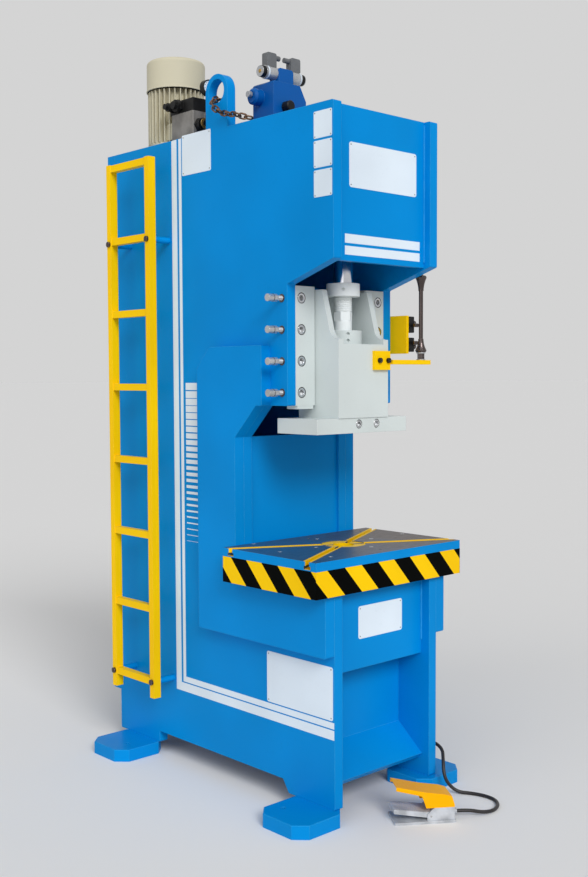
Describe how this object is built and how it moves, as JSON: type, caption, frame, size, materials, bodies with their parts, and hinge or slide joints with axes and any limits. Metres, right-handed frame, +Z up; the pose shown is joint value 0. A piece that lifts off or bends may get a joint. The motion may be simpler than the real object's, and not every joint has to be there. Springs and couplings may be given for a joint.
{
  "type": "gap-frame hydraulic press",
  "caption": "Floor-standing C-frame hydraulic press with a guided ram, slotted table, top power pack, side ladder and foot switch.",
  "frame": {"origin": "centre of the four foundation holes, on the floor", "axes": "+Z up, -Y towards the operator at the front, +X to the right seen from the front"},
  "size_m": [0.887, 1.6942, 2.912],
  "materials": {
    "blue_paint": "gloss",
    "yellow_paint": "gloss",
    "grey_paint": "satin",
    "machined_steel": "satin",
    "dark_steel": "satin",
    "table_steel": "satin",
    "chrome": "gloss",
    "cast_iron": "satin",
    "beige_paint": "satin",
    "aluminium": "satin",
    "black_plastic": "matte",
    "grey_plastic": "satin",
    "valve_blue": "gloss",
    "foot_grey": "satin",
    "foot_orange": "gloss",
    "cable_rubber": "matte",
    "brass": "satin",
    "white_paint": "satin",
    "black_paint": "satin"
  },
  "bodies": {
    "frame": {"left_side_plate": "blue_paint", "right_side_plate": "blue_paint", "doubler_plates": "blue_paint", "head_front_panel": "blue_paint", "lower_front_panel": "blue_paint", "back_plate": "blue_paint", "inner_plates": "blue_paint", "cylinder_mount_plate": "blue_paint", "foot_pads": "blue_paint", "table": "table_steel", "guide_back": "blue_paint", "gib_bars": "grey_paint", "gib_screws": "machined_steel", "gib_adjusters": "machined_steel", "cylinder_barrel": "machined_steel", "cylinder_gland": "machined_steel", "switch_plate": "yellow_paint", "limit_switches": "black_plastic", "deck_plate": "blue_paint", "oil_tank": "blue_paint", "motor_housing": "beige_paint", "motor_stator": "cast_iron", "fan_cowl": "beige_paint", "bellhousing": "aluminium", "oil_pump": "cast_iron", "terminal_box": "aluminium", "terminal_glands": "black_plastic", "pressure_gauge": "black_plastic", "valve_manifold": "valve_blue", "directional_valve": "valve_blue", "solenoids": "machined_steel", "solenoid_plugs": "grey_plastic", "hydraulic_pipes": "machined_steel", "ladder": "yellow_paint", "ladder_fixings": "blue_paint", "lifting_chain": "dark_steel", "foot_base": "foot_grey", "foot_housing": "foot_grey", "foot_pedal_pin": "machined_steel", "foot_hood": "foot_orange", "cable_gland": "black_plastic", "foot_cable": "cable_rubber"},
    "ram": {"slide": "grey_paint", "platen": "grey_paint", "slide_screws": "machined_steel", "slide_flange": "grey_paint", "adjusting_screw": "grey_paint", "rod_collar": "grey_paint", "piston_rod": "chrome", "piston": "cast_iron", "trip_bracket": "yellow_paint", "trip_rod": "dark_steel"},
    "rotor": {"motor_rotor": "machined_steel", "motor_fan": "grey_plastic", "pump_coupling": "aluminium"},
    "upper_lever": {"upper_switch_lever": "dark_steel"},
    "lower_lever": {"lower_switch_lever": "dark_steel"},
    "pedal": {"foot_pedal": "foot_grey"},
    "flow_adjuster": {"flow_knob": "black_plastic"},
    "relief_adjuster": {"relief_knob": "machined_steel"}
  },
  "joints": [
    {"name": "ram_stroke", "type": "slide", "parent": "frame", "child": "ram", "axis": [0, 0, 1], "range_m": [-0.25, 0]},
    {"name": "motor_spin", "type": "hinge", "parent": "frame", "child": "rotor", "pos_m": [-0.09, 0.495, 2.6], "axis": [0, 0, 1], "continuous": true},
    {"name": "upper_switch_swing", "type": "hinge", "parent": "frame", "child": "upper_lever", "pos_m": [0.3, -0.473, 1.79], "axis": [-1, 0, 0], "range_deg": [0, 25], "stiffness_Nm_per_rad": 0.2, "springref_deg": -8.02},
    {"name": "lower_switch_swing", "type": "hinge", "parent": "frame", "child": "lower_lever", "pos_m": [0.3, -0.473, 1.702], "axis": [1, 0, 0], "range_deg": [0, 25], "stiffness_Nm_per_rad": 0.2, "springref_deg": -8.02},
    {"name": "pedal_press", "type": "hinge", "parent": "frame", "child": "pedal", "pos_m": [0.01602, -0.81562, 0.024], "axis": [-0.5736, -0.8192, 0], "range_deg": [0, 9], "stiffness_Nm_per_rad": 4, "springref_deg": -9.74},
    {"name": "flow_turn", "type": "hinge", "parent": "frame", "child": "flow_adjuster", "pos_m": [0.005, -0.086, 2.644], "axis": [0, -1, 0], "range_deg": [-150, 150]},
    {"name": "relief_turn", "type": "hinge", "parent": "frame", "child": "relief_adjuster", "pos_m": [-0.099, -0.004, 2.69], "axis": [-1, 0, 0], "range_deg": [-150, 150]}
  ]
}
